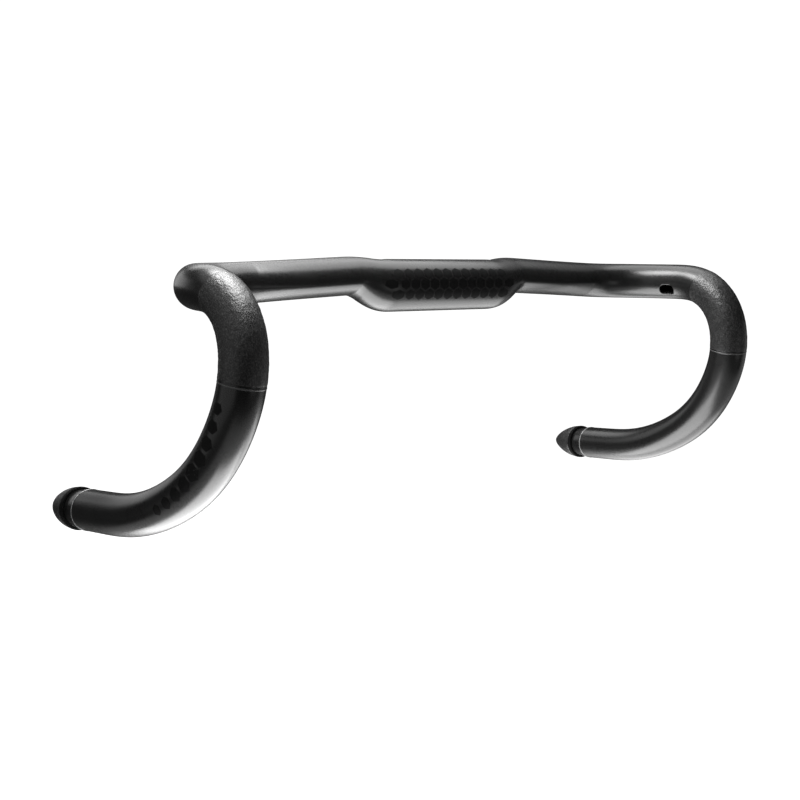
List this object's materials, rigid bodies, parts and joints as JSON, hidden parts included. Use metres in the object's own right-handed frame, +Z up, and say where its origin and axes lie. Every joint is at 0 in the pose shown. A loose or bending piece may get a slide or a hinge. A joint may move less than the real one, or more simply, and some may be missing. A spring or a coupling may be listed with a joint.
{
  "type": "drop handlebar",
  "caption": "Bare carbon road drop handlebar with aero wing tops, a round stem clamp zone, compact flared hooks, cable ports and expander end plugs.",
  "frame": {"origin": "centre of the stem clamp zone, on its axis", "axes": "+X to the rider's right along the stem clamp zone, +Y forwards in the riding direction, +Z up with the lever ramps level"},
  "size_m": [0.4388, 0.1946, 0.1567],
  "materials": {
    "satin_carbon": "satin clear coat over black carbon, rough texture on the lever seats",
    "satin_carbon_drop": "satin clear coat over black carbon",
    "raw_carbon": "uncoated carbon",
    "grained_cap": "grained moulding",
    "black_rubber": "matt",
    "black_nylon": "moulded",
    "zinc_steel": "zinc plated",
    "plain_alloy": "turned"
  },
  "bodies": {
    "bar": {"centre_section": "satin_carbon", "right_drop": "satin_carbon_drop", "left_drop": "satin_carbon_drop", "right_joint_sleeve": "raw_carbon", "left_joint_sleeve": "raw_carbon"},
    "right_plug": {"right_expander_sleeve": "black_nylon", "right_seal_ring": "black_rubber", "right_stud_washer": "zinc_steel"},
    "right_cap": {"right_end_cap": "grained_cap", "right_threaded_stud": "zinc_steel"},
    "right_wedge": {"right_wedge_nut": "plain_alloy"},
    "left_plug": {"left_expander_sleeve": "black_nylon", "left_seal_ring": "black_rubber", "left_stud_washer": "zinc_steel"},
    "left_cap": {"left_end_cap": "grained_cap", "left_threaded_stud": "zinc_steel"},
    "left_wedge": {"left_wedge_nut": "plain_alloy"}
  },
  "joints": [
    {"name": "right_plug_pull", "type": "slide", "parent": "bar", "child": "right_plug", "axis": [0.0999, -0.9921, -0.0754], "range_m": [0, 0.045]},
    {"name": "right_cap_twist", "type": "hinge", "parent": "right_plug", "child": "right_cap", "pos_m": [0.20657, -0.06962, -0.1269], "axis": [0.0999, -0.9921, -0.0754], "range_deg": [0, 1440]},
    {"name": "right_wedge_travel", "type": "slide", "parent": "right_plug", "child": "right_wedge", "axis": [-0.0999, 0.9921, 0.0754], "range_m": [0, 0.0033]},
    {"name": "left_plug_pull", "type": "slide", "parent": "bar", "child": "left_plug", "axis": [-0.0999, -0.9921, -0.0754], "range_m": [0, 0.045]},
    {"name": "left_cap_twist", "type": "hinge", "parent": "left_plug", "child": "left_cap", "pos_m": [-0.20657, -0.06962, -0.1269], "axis": [-0.0999, -0.9921, -0.0754], "range_deg": [0, 1440]},
    {"name": "left_wedge_travel", "type": "slide", "parent": "left_plug", "child": "left_wedge", "axis": [0.0999, 0.9921, 0.0754], "range_m": [0, 0.0033]}
  ],
  "couplings": [
    {"joint": "right_wedge_travel", "follows": "right_cap_twist", "m_per_rad": 0.00012732},
    {"joint": "left_wedge_travel", "follows": "left_cap_twist", "m_per_rad": 0.00012732}
  ]
}
